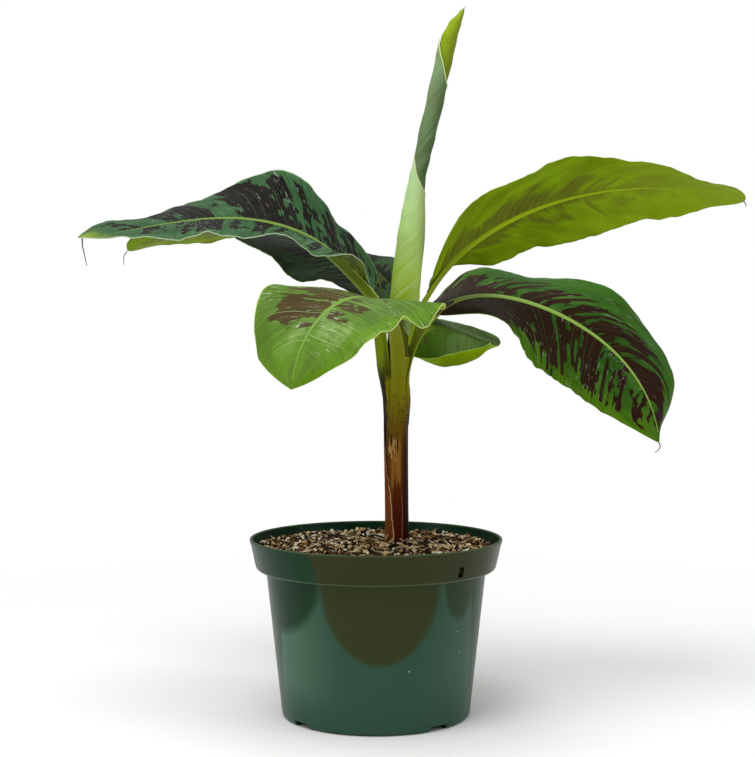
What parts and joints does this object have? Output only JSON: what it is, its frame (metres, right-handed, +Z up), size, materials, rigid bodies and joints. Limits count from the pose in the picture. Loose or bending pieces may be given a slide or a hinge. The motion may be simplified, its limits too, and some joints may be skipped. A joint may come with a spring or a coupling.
{
  "type": "potted banana plant",
  "caption": "Young banana plant with arching blotched leaves, a rolled upright leaf and a slim sheathed stem, in a squat round nursery pot with a stepped rim.",
  "frame": {"origin": "centre of the pot's flat underside", "axes": "+Z up along the pot's axis; -Y is the side the plant is seen from; +X to the viewer's right"},
  "size_m": [0.6716, 0.4993, 0.712],
  "materials": {
    "pot_plastic": "dark green moulded plastic with a soft shine",
    "potting_mix": "loose brown bark and peat mix with pale grains",
    "stem_sheaths": "smooth moist leaf sheaths, olive above and dark red-brown below",
    "dry_sheath": "dry dark brown sheath, torn to a tan tip",
    "leaf_front": "satin yellow-green blade with brown blotches by the midrib",
    "leaf_upper_left": "satin dark green blade with burgundy blotches along the veins",
    "leaf_right": "satin green blade with strong burgundy blotches along the veins",
    "rolled_leaf": "pale green rolled leaf",
    "leaf_upper_right": "yellow-green underside with a bright midrib",
    "leaf_back_left": "satin dark green blade with a paler underside",
    "leaf_back_right": "satin dark green blade with fine veins"
  },
  "bodies": {
    "root": {"pot": "pot_plastic", "soil": "potting_mix", "pseudostem": "stem_sheaths", "dry_sheath": "dry_sheath", "leaf_front": "leaf_front", "leaf_upper_left": "leaf_upper_left", "leaf_right": "leaf_right", "rolled_leaf": "rolled_leaf", "leaf_upper_right": "leaf_upper_right", "leaf_back_left": "leaf_back_left", "leaf_back_right": "leaf_back_right"}
  },
  "joints": []
}
